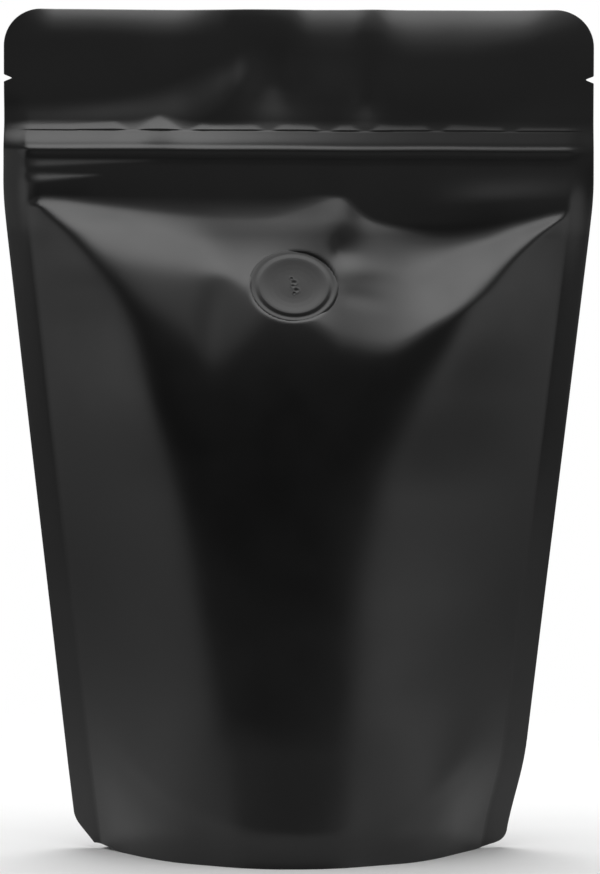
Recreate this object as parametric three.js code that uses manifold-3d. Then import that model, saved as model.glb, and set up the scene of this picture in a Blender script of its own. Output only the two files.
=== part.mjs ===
// A filled stand-up pouch of black laminate film, with a press zip, tear notches and a one-way valve.
// Millimetres, +Z up. The pouch stands on z = 0 with its middle plane on y = 0, and its front faces -Y.
import * as THREE from 'three';
import { mergeVertices } from 'three/addons/utils/BufferGeometryUtils.js';
import Module from 'manifold-3d';

const { clamp, degToRad, lerp, smoothstep } = THREE.MathUtils;

// The film bag
const FLAT_WIDTH = 160;
const STANDING_HEIGHT = 228;
const SIDE_SEAL = 6.5; // width of the sealed flange down each side
const NARROWEST_SEAL = 0.5; // what is left of the flange at the rounded top corners
const FILM_PAIR = 0.8; // thickness where the front and back film lie sealed together
const TOP_CORNER = 9;
const RIGHT_BOTTOM_CORNER = 3;
const LEFT_CHAMFER = { height: 9, slope: 0.74, bend: 1.4 }; // the left bottom corner is cut off at a slant
const CORNER_LIFT = 1.2; // the bottom corners clear the surface by this much
const LIFT_FROM = 40; // and the bottom edge starts to rise at this distance from the middle
const LIFT_FADE = 25;

// The side edges run straight down to the shoulder and then draw in as the pouch fills out
const SHOULDER_Z = 177;
const SHOULDER_BEND = 5;
const SIDE_TAPER = 0.12;
const RIGHT_TUCK = 2.4; // the right bottom corner is drawn in further than the left
const RIGHT_TUCK_Z = 29;
const HEADER_SPREAD = 0.7; // and they stand this much further apart at the top
const SEAL_BEND = { left: 2.9, right: 1.65 }; // how far back the side flanges are bent
const SEAL_BEND_STARTS = [4, 26]; // over these heights the bend comes in
const SEAL_BEND_ENDS = { left: [186, 206], right: [168, 190] }; // and over these it goes out

// Each panel is a flat face, two flanks that fall away to the side seals and a shoulder under the zip.
// The distances of the face's edges from the middle go with heights from the bottom up.
const ARCH_FILL = 0.97; // how much of a round arch's rise the flatter panel reaches
const FACE_Z = [0, 43, 70, 96, 122, 141, 150, 158, 165, 172, 178];
const FACES = {
  front: {
    sign: -1,
    left: [17, 20.6, 24.6, 30, 38, 42.5, 46.5, 51.5, 55.5, 60, 64],
    right: [12, 12, 12.6, 17.5, 32, 43, 46.6, 48.6, 51.5, 60.5, 68],
    shoulder: frontShoulder,
    ridge: 34,
  },
  back: {
    sign: 1,
    left: [16, 18, 21, 26, 34, 40, 43, 47, 52, 60, 67],
    right: [17, 20, 23, 28, 35, 40, 43, 47, 52, 60, 67],
    shoulder: backShoulder,
    ridge: 9,
  },
};
const NARROWEST_FLANK = 5;
const FLANK_RIDGE = { bottom: 4.5, left: 8, right: 14 }; // a higher power makes a sharper ridge
const FLANK_RIDGE_Z = [40, 140];

// The front shoulder from left to right: its upper line, the angle at which the film leaves there, the angle
// that it turns to and how far below the line it does so
const SHOULDER_X = [-74, -69, -50, -30, -14, 3, 12, 24, 38, 50, 60, 74];
const SHOULDER_TOP = [174, 176.4, 175, 173.6, 173, 172.6, 171.8, 169, 166.6, 168, 170.2, 173];
const SHOULDER_ROUND = 0.4;
const UPPER_ANGLE = [25, 25, 25, 25, 26, 28, 36, 29, 26, 25, 25, 25];
const LOWER_ANGLE = [43, 43, 42, 41, 42, 38, 32, 36, 44, 47, 46, 45];
const TURN_BELOW = [1.2, 1.2, 1.6, 3.2, 10.5, 9.5, 9, 7, 4, 2.2, 1.4, 1.2];
const TURN_SOFTNESS = 0.8;

// Right of the valve a pleat lifts the shoulder's line to a peak, and slants from there down to the valve
const PLEAT_TOP = { x: 11.5, z: 176, lift: 4.5 };
const PLEAT_FOOT = { x: 4, z: 163, lift: 1 };
const PLEAT_END_Z = 157;
const PLEAT_REACH = { left: 11, right: 7 };

// Left of the valve a crease parts off a lower facet, which a bank beside the valve lifts to the face again
const CREASE_X = [-50, -29, -19, -12];
const CREASE_Z = [157.5, 155.5, 154.5, 154.2];
const FACET_ANGLE = [26.5, 25, 19, 16];
const CREASE_SHARPNESS = [14, 20, 34, 40];
const BANK_SLOPE = 0.32;
const BANK_TOP = { x: -8.5, z: 145 };
const BANK_FOOT = { x: -20, z: 131 };
const BANK_SHARPNESS = 20;

// The back shoulder: its upper line rises to the corners and dips at one place
const BACK_ANGLE = 37;
const BACK_BEND = 6;
const BACK_TOP = { middle: 170, cornerRise: 5, dipX: -24, dip: 3, dipWidth: 26 };

// The bottom: a sealed skirt stands on the surface and the gusset film lies flat inside it
const SKIRT_TUCK = 1.2; // the skirt's foot stands this far behind the panel above it
const SKIRT_HEIGHT = 9;
const SKIRT_EDGE = 1.2;
const GROOVE_RISE = 3.5;
const GROOVE_AT = 4; // distance of the groove's crown from the panel's foot
const FLAT_FROM = 9; // distance at which the gusset film is back on the surface

// The zip: its height above the film, from its foot up
const ZIP_Z = [184, 187.6, 189.1, 190.4, 194.4, 195.4];
const ZIP_RISE = [0, 0.75, 1.5, 0.85, 0.55, 0];
const ZIP_END = 3.5;

// Both films lean back from the shoulder up to the zip, step back along it, more at the left, and lean back
// less above it. The header's top edge curls backwards.
const PANEL_LEAN = { from: 168, slope: Math.tan(degToRad(8)) };
const HEADER_LEAN = { from: 189, slope: Math.tan(degToRad(4.5)) };
const LEAN_BEND = 2;
const STEP_X = [-80, -45, 0, 40, 80];
const STEP_BACK = [3.7, 3.7, 2.6, 1.9, 1.7];
const STEP_Z = [188.5, 197.5];
const CURL_FROM = 219;
const CURL = 3;
const NOTCH_Z = 209.4;
const NOTCH_DEPTH = 2.2;
const NOTCH_HEIGHT = 1.9;

// The valve: a disc let into the front shoulder
const VALVE = { x: -1.2, z: 152.2, depth: 13.6, tilt: degToRad(36) };
const VALVE_RADIUS = 12;
const VALVE_BODY = 2;
const VALVE_GAP = 0.3;
const VALVE_SINK = 0.35; // depth of the rim's foot below the film around it
const FLAT_ROUND_VALVE = 13; // the film is flat to this radius, and free again at FREE_FROM_VALVE
const FREE_FROM_VALVE = 16.5;
const VALVE_SIDES = 48;

const FILM_ACROSS = FLAT_WIDTH - 2 * SIDE_SEAL;
const COLUMNS = 34;

const wasm = await Module();
wasm.setup();

// Zero below -bend and t above bend, with a round bend between
const softRamp = (t, bend) => (t > bend ? t : Math.max(0, t + bend) ** 2 / (4 * bend));
const bell = (t) => Math.exp(-t * t);

// The lowest of several heights, with the ridges between them rounded
function softMin(power, ...heights) {
  const lowest = Math.min(...heights);
  if (lowest <= 0) return 0;
  const sum = heights.reduce((total, h) => total + (lowest / h) ** power, 0);
  return lowest * sum ** (-1 / power);
}

// The higher of two heights, with the groove between them rounded
function softMax(power, first, second) {
  const higher = Math.max(first, second);
  if (higher <= 0) return 0;
  const lower = clamp(Math.min(first, second), 0, higher);
  return higher * (1 + (lower / higher) ** power) ** (1 / power);
}

// A curve through heights at knots, which is smooth and doesn't overshoot
function smoothCurve(value, knots, heights) {
  const last = knots.length - 1;
  const place = clamp(value, knots[0], knots[last]);
  const span = Math.min(last - 1, knots.findLastIndex((knot) => knot <= place));
  const step = (i) => (heights[i + 1] - heights[i]) / (knots[i + 1] - knots[i]);
  const slope = (i) => {
    if (i === 0 || i === last) return 0;
    const [before, after] = [step(i - 1), step(i)];
    return before * after > 0 ? (2 * before * after) / (before + after) : 0;
  };
  const width = knots[span + 1] - knots[span];
  const t = (place - knots[span]) / width;
  return heights[span] * (1 + 2 * t) * (1 - t) ** 2
    + heights[span + 1] * t * t * (3 - 2 * t)
    + width * t * (1 - t) * (slope(span) * (1 - t) - slope(span + 1) * t);
}

const slopeAt = (x, knots, angles) => Math.tan(degToRad(smoothCurve(x, knots, angles)));

// Distance of a side's edge from the middle, before its corners are rounded
function edgeBeforeCorners(z, side) {
  const tuck = side > 0 ? RIGHT_TUCK * (1 - smoothstep(z, 0, RIGHT_TUCK_Z)) : 0;
  const spread = HEADER_SPREAD * smoothstep(z, SHOULDER_Z, STANDING_HEIGHT);
  return FLAT_WIDTH / 2 + spread - SIDE_TAPER * softRamp(SHOULDER_Z - z, SHOULDER_BEND) - tuck;
}

function cornerInset(distanceFromEnd, radius) {
  const short = radius - distanceFromEnd;
  return short > 0 ? radius - Math.sqrt(radius * radius - short * short) : 0;
}

function outerEdge(z, side) {
  const top = cornerInset(STANDING_HEIGHT - z, TOP_CORNER);
  const bottom = side > 0
    ? cornerInset(z, RIGHT_BOTTOM_CORNER)
    : softRamp(LEFT_CHAMFER.slope * (LEFT_CHAMFER.height - z), LEFT_CHAMFER.bend);
  return side * (edgeBeforeCorners(z, side) - top - bottom);
}

const innerEdge = (z, side) => side * (edgeBeforeCorners(z, side) - SIDE_SEAL);

// How far a panel's middle stands out at a height: the rise of a shallow arch made of FILM_ACROSS of film
function archRise(z) {
  const gap = innerEdge(z, 1) - innerEdge(z, -1);
  return ARCH_FILL * Math.sqrt(Math.max(0, (3 / 16) * (FILM_ACROSS ** 2 - gap ** 2)));
}

// Height of the front shoulder's upper line, with the pleat's lift at this height
function shoulderTop(x, z) {
  const share = (z - PLEAT_FOOT.z) / (PLEAT_TOP.z - PLEAT_FOOT.z);
  const aside = x - lerp(PLEAT_FOOT.x, PLEAT_TOP.x, share);
  const fade = clamp((z - PLEAT_END_Z) / (PLEAT_FOOT.z - PLEAT_END_Z), 0, 1);
  const lift = fade * lerp(PLEAT_FOOT.lift, PLEAT_TOP.lift, clamp(share, 0, 1));
  const reach = aside < 0 ? PLEAT_REACH.left : PLEAT_REACH.right;
  return smoothCurve(x, SHOULDER_X, SHOULDER_TOP) + lift * bell(aside / reach);
}

function upperShoulder(x, z) {
  const below = shoulderTop(x, z) - z;
  const first = slopeAt(x, SHOULDER_X, UPPER_ANGLE);
  const second = slopeAt(x, SHOULDER_X, LOWER_ANGLE);
  const turn = smoothCurve(x, SHOULDER_X, TURN_BELOW);
  const leaving = first * softRamp(below, SHOULDER_ROUND);
  return leaving + (second - first) * softRamp(below - turn, TURN_SOFTNESS * turn);
}

// The flatter facet under the crease, and the bank that rises from it to the valve
function leftFacet(x, z) {
  const crease = smoothCurve(x, CREASE_X, CREASE_Z);
  const facet = upperShoulder(x, crease) + slopeAt(x, CREASE_X, FACET_ANGLE) * (crease - z);
  const lean = (BANK_TOP.x - BANK_FOOT.x) / (BANK_TOP.z - BANK_FOOT.z);
  const bank = archRise(z) + BANK_SLOPE * (x - BANK_TOP.x - lean * (z - BANK_TOP.z));
  return softMax(BANK_SHARPNESS, facet, bank);
}

function frontShoulder(x, z) {
  const sharpness = smoothCurve(x, CREASE_X, CREASE_SHARPNESS);
  return softMin(sharpness, upperShoulder(x, z), leftFacet(x, z));
}

function backShoulder(x, z) {
  const towardsCorner = Math.abs(x / (FILM_ACROSS / 2)) ** 3;
  const dip = BACK_TOP.dip * bell((x - BACK_TOP.dipX) / BACK_TOP.dipWidth);
  const top = BACK_TOP.middle + BACK_TOP.cornerRise * towardsCorner - dip;
  return Math.tan(degToRad(BACK_ANGLE)) * softRamp(top - z, BACK_BEND);
}

// A flank rises from the side seal and reaches the face at the face's edge
function flank(fromSeal, z, toMiddle, edges) {
  const run = Math.max(NARROWEST_FLANK, toMiddle - smoothCurve(z, FACE_Z, edges));
  return (fromSeal * archRise(z)) / run;
}

// The filled body's depth, from the middle plane to the film
function bodyDepth(x, z, face) {
  const [left, right] = [-innerEdge(z, -1), innerEdge(z, 1)];
  const ridge = (side) => lerp(FLANK_RIDGE.bottom, FLANK_RIDGE[side], smoothstep(z, ...FLANK_RIDGE_Z));
  const middle = softMin(face.ridge, archRise(z), face.shoulder(x, z));
  const body = softMin(ridge('left'), middle, flank(x + left, z, left, face.left));
  return softMin(ridge('right'), body, flank(right - x, z, right, face.right));
}

// The film lies flat round the valve, on a plane tilted like the valve that stays behind the face
function flattenRoundValve(depth, x, z) {
  const up = z - VALVE.z;
  const radius = Math.hypot(x - VALVE.x, up / Math.cos(VALVE.tilt));
  const plane = Math.min(VALVE.depth - up * Math.tan(VALVE.tilt), archRise(z));
  return lerp(plane, depth, smoothstep(radius, FLAT_ROUND_VALVE, FREE_FROM_VALVE));
}

function zipRise(x, z) {
  const fromSeal = Math.min(x - innerEdge(z, -1), innerEdge(z, 1) - x);
  return smoothCurve(z, ZIP_Z, ZIP_RISE) * smoothstep(fromSeal, 0, ZIP_END);
}

function panelDepth(x, z, face) {
  let depth = bodyDepth(x, z, face);
  if (face === FACES.front) depth = flattenRoundValve(depth, x, z);
  const tuck = SKIRT_TUCK * (1 - smoothstep(z, 0, SKIRT_HEIGHT)) * smoothstep(depth, 0, SKIRT_HEIGHT);
  return FILM_PAIR / 2 + depth - tuck + zipRise(x, z);
}

// How far both films stand behind y = 0 above the shoulder
function headerOffset(x, z) {
  const panel = PANEL_LEAN.slope * softRamp(z - PANEL_LEAN.from, LEAN_BEND);
  const header = (HEADER_LEAN.slope - PANEL_LEAN.slope) * softRamp(z - HEADER_LEAN.from, LEAN_BEND);
  const step = smoothCurve(x, STEP_X, STEP_BACK) * smoothstep(z, ...STEP_Z);
  const curl = CURL * (Math.max(0, z - CURL_FROM) / (STANDING_HEIGHT - CURL_FROM)) ** 2;
  return panel + header + step + curl;
}

// And in the side flanges, which are bent back towards their cut edges
function sealOffset(x, z) {
  const onSeal = clamp((Math.abs(x) - Math.abs(innerEdge(z, Math.sign(x)))) / SIDE_SEAL, 0, 1);
  const side = x < 0 ? 'left' : 'right';
  const fade = smoothstep(z, ...SEAL_BEND_STARTS) * (1 - smoothstep(z, ...SEAL_BEND_ENDS[side]));
  return SEAL_BEND[side] * onSeal * fade;
}

const rimLift = (x, z) => CORNER_LIFT * smoothstep(Math.abs(x), LIFT_FROM, LIFT_FROM + FLAT_FROM)
  * (1 - smoothstep(z, 0, LIFT_FADE));

// Evenly spaced heights from one height up to the next, closer where the panel has folds
const heights = (from, to, count) => Array.from({ length: count }, (_, i) => lerp(from, to, i / count));

const PANEL_FOLDS_FROM = 120;
const ROWS = [
  ...heights(0, SKIRT_HEIGHT, 5),
  ...heights(SKIRT_HEIGHT, PANEL_FOLDS_FROM, 9),
  ...heights(PANEL_FOLDS_FROM, SHOULDER_Z, 22),
  ...heights(SHOULDER_Z, ZIP_Z[0], 3),
  ...ZIP_Z.slice(1).flatMap((z, i) => heights(ZIP_Z[i], z, 2)),
  ...heights(ZIP_Z.at(-1), CURL_FROM, 6),
  ...heights(CURL_FROM, STANDING_HEIGHT - 1, 5),
  ...heights(STANDING_HEIGHT - 1, STANDING_HEIGHT, 3),
  STANDING_HEIGHT,
];

// The places across the pouch at a height: each side's outer edge and seal line, and the panel between
function places(z) {
  const left = Math.max(innerEdge(z, -1), outerEdge(z, -1) + NARROWEST_SEAL);
  const right = Math.min(innerEdge(z, 1), outerEdge(z, 1) - NARROWEST_SEAL);
  const panel = Array.from({ length: COLUMNS + 1 }, (_, i) => lerp(left, right, i / COLUMNS));
  return [outerEdge(z, -1), ...panel, outerEdge(z, 1)];
}

// One closed loop round the pouch: across the front from left to right, and back across the back
function loop(z, point) {
  const across = places(z);
  const front = across.map((x) => point(x, FACES.front));
  const back = across.map((x) => point(x, FACES.back)).reverse();
  return [...front, ...back];
}

function wallLoop(z) {
  return loop(z, (x, face) => {
    const y = headerOffset(x, z) + sealOffset(x, z) + face.sign * panelDepth(x, z, face);
    return new THREE.Vector3(x, y, z + rimLift(x, z));
  });
}

// Height of the gusset film over the surface, at a distance in from the panel's foot
function gussetRise(inset) {
  if (inset < GROOVE_AT) return GROOVE_RISE * smoothstep(inset, SKIRT_EDGE, GROOVE_AT);
  return GROOVE_RISE * (1 - smoothstep(inset, GROOVE_AT, FLAT_FROM));
}

// A loop under the pouch, drawn in from the panels' feet as far as the middle plane
function gussetLoop(inset) {
  return loop(0, (x, face) => {
    const middle = (panelDepth(x, 0, FACES.front) + panelDepth(x, 0, FACES.back)) / 2;
    const onSeal = middle <= FILM_PAIR;
    const reached = onSeal ? 0 : Math.min(inset, middle);
    const share = onSeal ? 1 : reached / middle;
    const y = face.sign * panelDepth(x, 0, face) * (1 - share);
    const groove = smoothstep(middle, FILM_PAIR, 2 * FLAT_FROM) * gussetRise(reached);
    const lift = rimLift(x, 0) * (1 - smoothstep(reached, 0, FLAT_FROM));
    return new THREE.Vector3(x, y, lift + groove);
  });
}

function topLoop() {
  const middle = (x) => new THREE.Vector3(x, headerOffset(x, STANDING_HEIGHT), STANDING_HEIGHT);
  return loop(STANDING_HEIGHT, middle);
}

// Joins loops of equal length into one surface. The first and last loops are folded flat, which closes it.
function closedSurface(loops) {
  const size = loops[0].length;
  const index = [];
  for (let row = 0; row + 1 < loops.length; row += 1) {
    for (let i = 0; i < size; i += 1) {
      const next = (i + 1) % size;
      const [a, b] = [row * size + i, row * size + next];
      const [c, d] = [b + size, a + size];
      index.push(a, b, c, a, c, d);
    }
  }
  const points = new THREE.BufferGeometry().setFromPoints(loops.flat());
  points.setIndex(index);
  return points;
}

// A closed geometry as a solid for cutting. Triangles that folded onto a line are dropped.
function solidOf(geometry, matrix = new THREE.Matrix4()) {
  const bare = geometry.clone().applyMatrix4(matrix);
  bare.deleteAttribute('normal');
  bare.deleteAttribute('uv');
  const merged = mergeVertices(bare, 1e-4);
  const corners = merged.index.array;
  const kept = [];
  for (let i = 0; i < corners.length; i += 3) {
    const [a, b, c] = corners.slice(i, i + 3);
    if (a !== b && b !== c && c !== a) kept.push(a, b, c);
  }
  return new wasm.Manifold(new wasm.Mesh({
    numProp: 3,
    vertProperties: merged.attributes.position.array,
    triVerts: new Uint32Array(kept),
  }));
}

function geometryOf(solid) {
  const { vertProperties, triVerts } = solid.getMesh();
  const geometry = new THREE.BufferGeometry();
  geometry.setAttribute('position', new THREE.BufferAttribute(vertProperties, 3));
  geometry.setIndex(new THREE.BufferAttribute(triVerts, 1));
  geometry.computeVertexNormals();
  return geometry;
}

// The valve's own frame: +Y out of the film, and the origin on the film at the valve's middle
function valveFrame() {
  const outwards = new THREE.Vector3(0, -Math.cos(VALVE.tilt), Math.sin(VALVE.tilt));
  const turn = new THREE.Quaternion().setFromUnitVectors(new THREE.Vector3(0, 1, 0), outwards);
  const place = new THREE.Vector3(VALVE.x, -FILM_PAIR / 2 - VALVE.depth, VALVE.z);
  return new THREE.Matrix4().compose(place, turn, new THREE.Vector3(1, 1, 1));
}

function valvePocket() {
  const height = VALVE_BODY + VALVE_SINK + VALVE_GAP;
  const clear = VALVE_BODY;
  const pocket = new THREE.CylinderGeometry(
    VALVE_RADIUS + VALVE_GAP, VALVE_RADIUS + VALVE_GAP, height + clear, VALVE_SIDES,
  );
  return pocket.translate(0, (clear - height) / 2, 0);
}

// The disc's profile from its middle to its rim: a low bump, a dish, a groove and a raised ring
function valveDisc() {
  const floor = -VALVE_SINK - VALVE_BODY;
  const profile = [
    [0, floor], [VALVE_RADIUS, floor], [VALVE_RADIUS, -VALVE_SINK],
    [11.5, 0.34], [11.35, 0.36], [10.7, 0.16], [10.4, 0.16], [10, 0.3],
    [9.5, 0.5], [8.8, 0.46], [6, 0.1], [3, 0], [0, 0.04],
  ];
  return new THREE.LatheGeometry(profile.map(([r, h]) => new THREE.Vector2(r, h)), VALVE_SIDES);
}

// A wedge that cuts a tear notch into one side of the header
function tearNotch(side) {
  const edge = outerEdge(NOTCH_Z, side);
  const half = NOTCH_HEIGHT / 2;
  const tip = edge - side * NOTCH_DEPTH;
  const outside = edge + side * NOTCH_DEPTH;
  const wedge = new THREE.Shape([
    new THREE.Vector2(tip, NOTCH_Z),
    new THREE.Vector2(edge - side * half, NOTCH_Z + half),
    new THREE.Vector2(outside, NOTCH_Z + half),
    new THREE.Vector2(outside, NOTCH_Z - half),
    new THREE.Vector2(edge - side * half, NOTCH_Z - half),
  ]);
  const through = 4 * NOTCH_DEPTH;
  const cut = new THREE.ExtrudeGeometry(wedge, { depth: through, bevelEnabled: false });
  return cut.translate(0, 0, -through / 2).rotateX(Math.PI / 2);
}

function pouchGeometry() {
  const furthest = FLAT_WIDTH;
  const gusset = [
    gussetLoop(furthest),
    gussetLoop(FLAT_FROM),
    gussetLoop(GROOVE_AT),
    gussetLoop(SKIRT_EDGE),
  ];
  const skin = closedSurface([...gusset, ...ROWS.map(wallLoop), topLoop()]);
  return geometryOf(
    solidOf(skin)
      .subtract(solidOf(valvePocket(), valveFrame()))
      .subtract(solidOf(tearNotch(-1)))
      .subtract(solidOf(tearNotch(1))),
  );
}

const film = new THREE.MeshStandardMaterial({ color: 0x1c1c1d, roughness: 0.45, metalness: 0 });
const filmOverValve = new THREE.MeshStandardMaterial({ color: 0x212122, roughness: 0.4, metalness: 0 });

const pouch = new THREE.Mesh(pouchGeometry(), film);
pouch.name = 'pouch';

const valve = new THREE.Mesh(geometryOf(solidOf(valveDisc())), filmOverValve);
valve.name = 'valve';
valve.applyMatrix4(valveFrame());

const standUpPouch = new THREE.Group();
standUpPouch.add(pouch, valve);

export default standUpPouch;
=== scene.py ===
"""A filled stand-up pouch of matte black film, with a press zip, tear notches and a one-way valve."""
from math import cos, pi, radians, sin, tan

import bpy
import numpy as np
from mathutils import Matrix, Vector


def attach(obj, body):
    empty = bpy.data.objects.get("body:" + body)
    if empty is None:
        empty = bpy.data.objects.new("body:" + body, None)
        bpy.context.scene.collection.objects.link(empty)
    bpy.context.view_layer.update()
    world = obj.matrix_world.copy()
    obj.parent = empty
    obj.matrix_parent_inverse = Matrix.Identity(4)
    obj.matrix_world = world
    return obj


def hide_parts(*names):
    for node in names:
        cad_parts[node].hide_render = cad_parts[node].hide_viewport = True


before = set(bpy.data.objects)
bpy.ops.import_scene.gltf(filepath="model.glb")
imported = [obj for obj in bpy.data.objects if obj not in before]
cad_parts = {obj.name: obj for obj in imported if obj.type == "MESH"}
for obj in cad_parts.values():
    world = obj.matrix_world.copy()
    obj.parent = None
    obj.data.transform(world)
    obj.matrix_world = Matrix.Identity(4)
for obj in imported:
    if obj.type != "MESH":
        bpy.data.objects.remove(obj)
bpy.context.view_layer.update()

# Lengths are in millimetres until a mesh is made. The front faces -Y, and a depth is measured outwards from
# the middle plane between the two films. Tables over x run from left to right.
MM = 0.001
TINY = 1e-6


# Helpers

def smoothstep(value, start, end):
    share = np.clip((value - start) / (end - start), 0.0, 1.0)
    return share * share * (3.0 - 2.0 * share)


# How much steeper the middle of smoothstep is than a straight rise
SMOOTHSTEP_STEEPEST = 1.5


def mix(first, second, share):
    return first + (second - first) * share


def bell(value):
    return np.exp(-value * value)


def soft_ramp(value, bend):
    """Zero below -bend and value above bend, with a round bend between."""
    return np.where(value > bend, value, np.maximum(0.0, value + bend) ** 2 / (4.0 * bend))


def soft_min(power, *heights):
    """The lowest of several heights, with the ridges between them rounded."""
    heights = [np.maximum(height, TINY) for height in heights]
    lowest = np.minimum.reduce(heights)
    total = sum((lowest / height) ** power for height in heights)
    return lowest * total ** (-1.0 / power)


def soft_max(power, first, second):
    """The higher of two heights, with the groove between them rounded."""
    higher = np.maximum(np.maximum(first, second), TINY)
    lower = np.clip(np.minimum(first, second), 0.0, higher)
    return higher * (1.0 + (lower / higher) ** power) ** (1.0 / power)


def smooth_curve(value, knots, heights):
    """A curve through the knots that is smooth and doesn't overshoot."""
    knots = np.asarray(knots, dtype=float)
    heights = np.asarray(heights, dtype=float)
    value = np.clip(value, knots[0], knots[-1])
    span = np.clip(np.searchsorted(knots, value, side="right") - 1, 0, len(knots) - 2)
    steps = np.diff(heights) / np.diff(knots)
    slopes = np.zeros_like(heights)
    rising = steps[:-1] * steps[1:] > 0
    slopes[1:-1][rising] = 2.0 * (steps[:-1] * steps[1:])[rising] / (steps[:-1] + steps[1:])[rising]
    width = knots[span + 1] - knots[span]
    share = (value - knots[span]) / width
    rest = 1 - share
    return (
        heights[span] * (1 + 2 * share) * rest**2
        + heights[span + 1] * share * share * (3 - 2 * share)
        + width * share * rest * (slopes[span] * rest - slopes[span + 1] * share)
    )


def tangent(x, knots, angles):
    return np.tan(np.radians(smooth_curve(x, knots, angles)))


def profile(points, blur, step=0.02):
    """A curve of straight runs between points, with its corners rounded over about the blur's length."""
    places, heights = np.array(sorted(points)).T
    margin = 4 * blur
    fine = np.arange(places[0] - margin, places[-1] + margin, step)
    sharp = np.interp(fine, places, heights)
    half_window = 3 * blur
    window = np.arange(-half_window, half_window + step / 2, step)
    weights = bell(window / blur)
    padded = np.pad(sharp, len(window) // 2, mode="edge")
    smooth = np.convolve(padded, weights / weights.sum(), mode="valid")[: len(fine)]
    return lambda value: np.interp(value, fine, smooth)


# Shares of a fold's length over which it swells and runs out
FOLD_SWELLS = (-0.1, 0.35)
FOLD_RUNS_OUT = (0.4, 1.15)


def fold(x, z, start, end, height, above, below):
    """A ridge along a line, or a groove where height is negative, that runs out at both ends."""
    start = np.array(start)
    along = np.array(end) - start
    length = np.hypot(*along)
    along = along / length
    share = ((x - start[0]) * along[0] + (z - start[1]) * along[1]) / length
    aside = (z - start[1]) * along[0] - (x - start[0]) * along[1]
    width = np.where(aside > 0, above, below)
    taper = smoothstep(share, *FOLD_SWELLS) * (1.0 - smoothstep(share, *FOLD_RUNS_OUT))
    return height * taper * bell(aside / width)


RIPPLE_WAVES = 9
RIPPLE_LENGTHS = (0.7, 1.8)


def ripples(x, z, size, seed):
    """Slow uneven waves between -1 and 1, the same on every run."""
    random = np.random.default_rng(seed)
    total = np.zeros_like(x)
    for _ in range(RIPPLE_WAVES):
        turn = random.uniform(0.0, 2.0 * pi)
        length = size * random.uniform(*RIPPLE_LENGTHS)
        phase = random.uniform(0.0, 2.0 * pi)
        total += np.sin(2.0 * pi * (x * cos(turn) + z * sin(turn)) / length + phase)
    return total / RIPPLE_WAVES


# Outline of the bag

FLAT_WIDTH = 160.0
STANDING_HEIGHT = 228.0
SIDE_SEAL = 6.5
FILM_ACROSS = FLAT_WIDTH - 2 * SIDE_SEAL
TOP_CORNER = 10.4
RIGHT_BOTTOM_CORNER = 3.0
LEFT_CHAMFER = {"height": 6.4, "slope": 0.74, "bend": 1.6}
HEADER_SPREAD = 0.35

# The direction of each side along x
SIDES = {"left": -1.0, "right": 1.0}

# The side edges draw in below the shoulder, and the right one a little more at the foot
SHOULDER_Z = 177.0
SHOULDER_BEND = 5.0
SIDE_TAPER = {"left": 0.112, "right": 0.12}
FOOT_TUCK = {"left": 0.0, "right": 2.4}
FOOT_TUCK_Z = 29.0

# Tear notches: distance along the edge from the tip, and depth
NOTCH_Z = 208.8
NOTCH_TIP = (0.0, 2.3)
NOTCH_FLANK = ((0.35, 1.5), (0.95, 0.0), (1.1, 0.0))
NOTCH_ROUND = 0.12
NOTCH_BELOW = tuple((-place, depth) for place, depth in NOTCH_FLANK)
NOTCH = profile([*NOTCH_BELOW, NOTCH_TIP, *NOTCH_FLANK], NOTCH_ROUND)


def edge_before_corners(z, side):
    spread = HEADER_SPREAD * smoothstep(z, SHOULDER_Z, STANDING_HEIGHT)
    tuck = FOOT_TUCK[side] * (1.0 - smoothstep(z, 0.0, FOOT_TUCK_Z))
    return FLAT_WIDTH / 2 + spread - SIDE_TAPER[side] * soft_ramp(SHOULDER_Z - z, SHOULDER_BEND) - tuck


def round_inset(distance, radius):
    short = np.clip(radius - distance, 0.0, radius)
    return radius - np.sqrt(radius * radius - short * short)


def outer_edge(z, side):
    """Distance of a side's cut edge from the middle."""
    inset = round_inset(STANDING_HEIGHT - z, TOP_CORNER) + NOTCH(z - NOTCH_Z)
    if side == "right":
        inset = inset + round_inset(z, RIGHT_BOTTOM_CORNER)
    else:
        chamfer = LEFT_CHAMFER["slope"] * (LEFT_CHAMFER["height"] - z)
        inset = inset + soft_ramp(chamfer, LEFT_CHAMFER["bend"])
    return edge_before_corners(z, side) - inset


def inner_edge(z, side):
    """Distance of a side seal's inner edge from the middle."""
    return edge_before_corners(z, side) - SIDE_SEAL


def from_seal(x, z, side):
    """Distance in from a side seal's inner edge."""
    return inner_edge(z, side) - SIDES[side] * x


# Face and flanks of the body

# Distance of the face's edges from the middle
FACE_Z = (0.0, 43.0, 70.0, 96.0, 122.0, 141.0, 150.0, 158.0, 165.0, 172.0, 178.0)
FRONT_FACE = {
    "left": (17.0, 20.6, 24.6, 30.0, 38.0, 42.5, 46.5, 51.5, 55.5, 60.0, 64.0),
    "right": (15.5, 15.5, 16.0, 20.0, 32.5, 43.0, 46.6, 48.6, 51.5, 60.5, 68.0),
}
BACK_FACE = {
    "left": (16.0, 18.0, 21.0, 26.0, 34.0, 40.0, 43.0, 47.0, 52.0, 60.0, 67.0),
    "right": (17.0, 20.0, 23.0, 28.0, 35.0, 40.0, 43.0, 47.0, 52.0, 60.0, 67.0),
}
NARROWEST_FLANK = 5.0

# Powers for the ridges between facets: a larger one makes a sharper ridge
FLANK_RIDGE_Z = (40.0, 142.0, 166.0)
FLANK_RIDGE = {"left": (5.5, 8.5, 5.8), "right": (4.8, 8.0, 9.0)}
FRONT_RIDGE = 46.0
BACK_RIDGE = 9.0

FOOT_BULGE = {"left": 4.5, "right": 5.5}
FOOT_BULGE_Z = 46.0

# A shallow arch rises by the root of this share of its length squared less its gap squared
ARCH_SHARE = 3.0 / 16.0


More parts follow.
